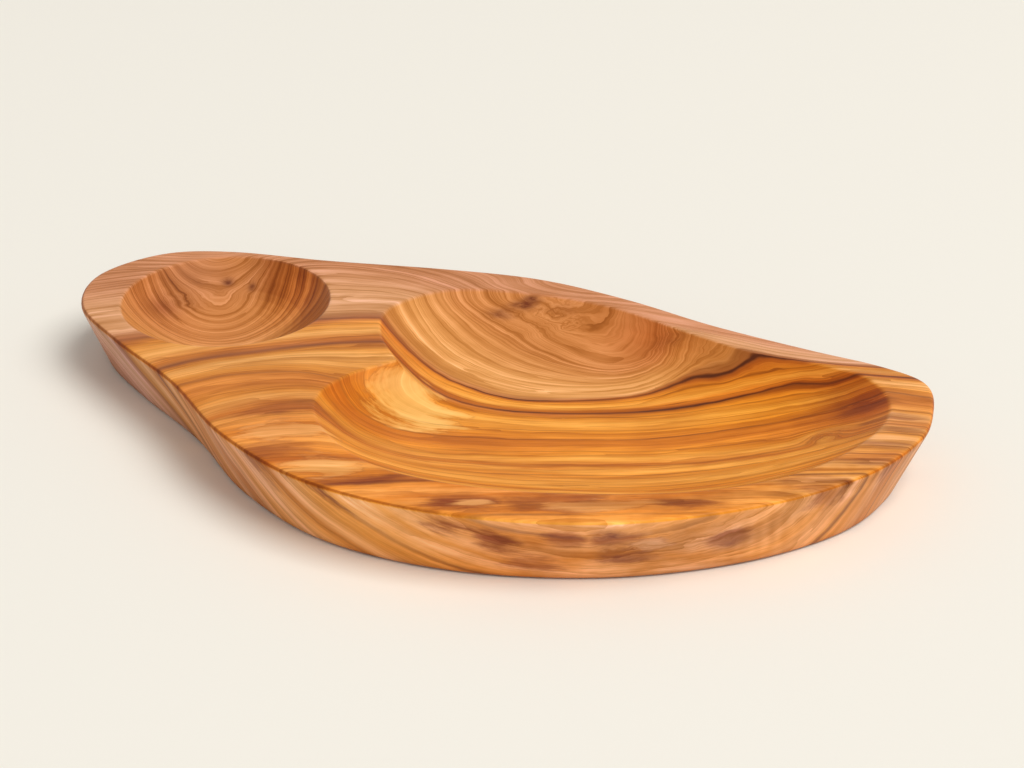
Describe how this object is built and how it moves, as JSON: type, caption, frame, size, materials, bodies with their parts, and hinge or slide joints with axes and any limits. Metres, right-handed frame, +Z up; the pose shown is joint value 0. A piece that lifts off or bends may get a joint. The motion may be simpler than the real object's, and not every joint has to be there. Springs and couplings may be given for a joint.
{
  "type": "olive dish",
  "caption": "Carved olive-wood serving dish: a leaning-sided board with a small round hollow for stones or dip beside a larger heart-shaped hollow for olives.",
  "frame": {"origin": "middle of the overall box, on the flat underside that rests on the table", "axes": "+X along the length from the small round hollow to the wide end, +Y from the front side to the back side with the straight edge, +Z up out of the hollows"},
  "size_m": [0.3009, 0.1635, 0.0245],
  "materials": {
    "wood": "oiled satin"
  },
  "bodies": {
    "root": {"dish": "wood"}
  },
  "joints": []
}
